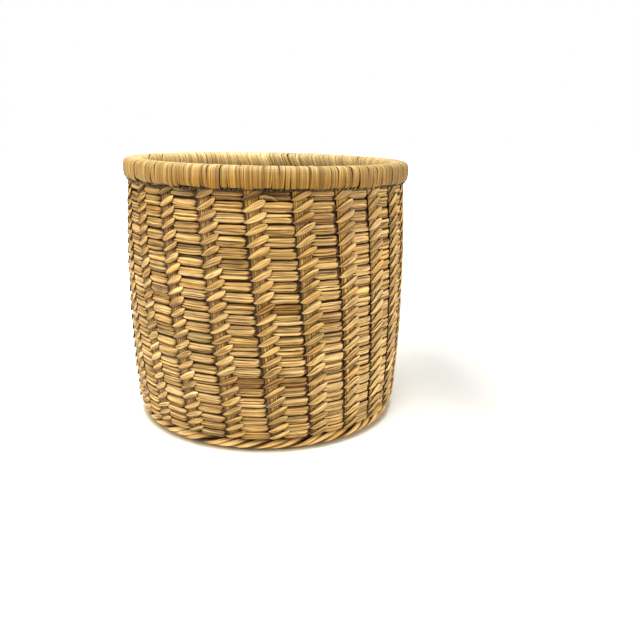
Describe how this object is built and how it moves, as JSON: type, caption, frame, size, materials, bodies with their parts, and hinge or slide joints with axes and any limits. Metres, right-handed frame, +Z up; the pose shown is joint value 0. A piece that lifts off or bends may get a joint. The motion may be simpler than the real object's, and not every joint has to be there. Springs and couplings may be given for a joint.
{
  "type": "woven basket",
  "caption": "Round open-topped basket of twined flat rush, with upright stakes, a bound rolled rim and a roped foot.",
  "frame": {"origin": "centre of the underside of the base, on the surface that the basket stands on", "axes": "+Z up along the basket's axis to its open mouth; -Y is the front that the picture shows; +X is to the viewer's right"},
  "size_m": [0.2566, 0.2566, 0.235],
  "materials": {
    "row_rush": "dry split rush, matt to faintly satin, with fine fibre lines along each strand",
    "stake_rush": "dry split rush, matt to faintly satin, with fine fibre lines along each strand, more golden near the top",
    "rim_rush": "dry split rush, matt to faintly satin, with fine fibre lines along each strand, bound closely over the rim",
    "foot_rush": "twisted rush rope, matt, with its strands slanting round the foot",
    "base_rush": "dry split rush, matt to faintly satin, with fine fibre lines along each strand"
  },
  "bodies": {
    "root": {"base_row_01": "base_rush", "base_row_02": "base_rush", "base_row_03": "base_rush", "base_row_04": "base_rush", "base_row_05": "base_rush", "base_row_06": "base_rush", "base_spokes": "base_rush", "foot_rope": "foot_rush", "rim_binding": "rim_rush", "rim_cord": "rim_rush", "rim_core": "rim_rush", "stake_01": "stake_rush", "stake_02": "stake_rush", "stake_03": "stake_rush", "stake_04": "stake_rush", "stake_05": "stake_rush", "stake_06": "stake_rush", "stake_07": "stake_rush", "stake_08": "stake_rush", "stake_09": "stake_rush", "stake_10": "stake_rush", "stake_11": "stake_rush", "stake_12": "stake_rush", "stake_13": "stake_rush", "stake_14": "stake_rush", "stake_15": "stake_rush", "stake_16": "stake_rush", "stake_17": "stake_rush", "stake_18": "stake_rush", "stake_19": "stake_rush", "stake_20": "stake_rush", "stake_21": "stake_rush", "stake_22": "stake_rush", "stake_23": "stake_rush", "stake_24": "stake_rush", "weft_row_01": "row_rush", "weft_row_02": "row_rush", "weft_row_03": "row_rush", "weft_row_04": "row_rush", "weft_row_05": "row_rush", "weft_row_06": "row_rush", "weft_row_07": "row_rush", "weft_row_08": "row_rush", "weft_row_09": "row_rush", "weft_row_10": "row_rush", "weft_row_11": "row_rush", "weft_row_12": "row_rush", "weft_row_13": "row_rush", "weft_row_14": "row_rush", "weft_row_15": "row_rush", "weft_row_16": "row_rush", "weft_row_17": "row_rush", "weft_row_18": "row_rush", "weft_row_19": "row_rush", "weft_row_20": "row_rush", "weft_row_21": "row_rush", "weft_row_22": "row_rush", "weft_row_23": "row_rush", "weft_row_24": "row_rush"}
  },
  "joints": []
}
